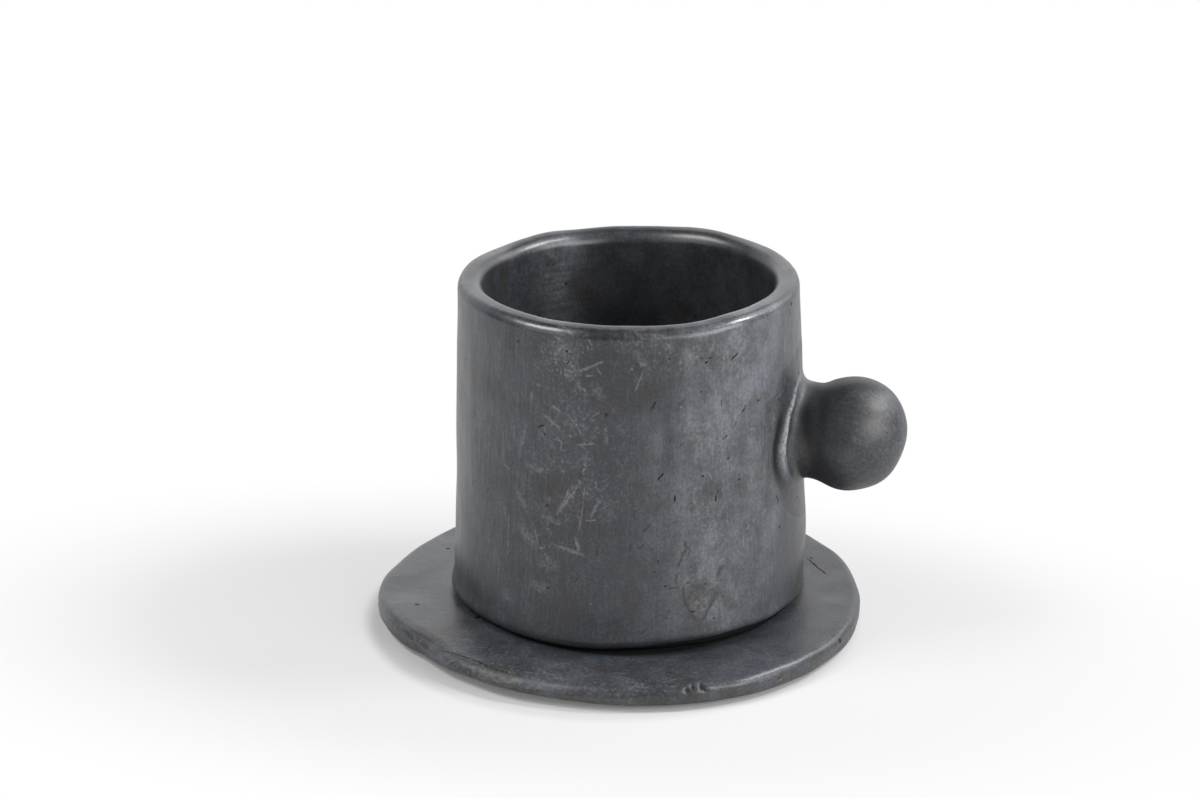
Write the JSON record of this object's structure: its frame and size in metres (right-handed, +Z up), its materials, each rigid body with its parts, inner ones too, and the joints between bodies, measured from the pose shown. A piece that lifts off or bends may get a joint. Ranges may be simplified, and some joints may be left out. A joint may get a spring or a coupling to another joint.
{
  "type": "mug with saucer",
  "caption": "Hand-built dark burnished clay mug with a ball-shaped pinch handle on a short collared neck, standing loose on a flat round slab saucer.",
  "frame": {"origin": "middle of the saucer's flat underside, on the table", "axes": "+Z up, +X out along the handle's axis, +Y to the left when the handle points away from the viewer"},
  "size_m": [0.1261, 0.1149, 0.0851],
  "materials": {
    "saucer_clay": "burnished, smoke-fired",
    "base_clay": "burnished, smoke-fired",
    "wall_clay": "burnished, smoke-fired",
    "ball_clay": "burnished, smoke-fired",
    "collar_clay": "smoothed, smoke-fired"
  },
  "bodies": {
    "saucer": {"saucer": "saucer_clay"},
    "mug": {"mug_base": "base_clay", "mug_wall": "wall_clay", "handle_ball": "ball_clay", "handle_collar": "collar_clay"}
  },
  "joints": [
    {"name": "mug_lift", "type": "slide", "parent": "saucer", "child": "mug", "axis": [0, 0, 1], "range_m": [0, 0.12]}
  ]
}
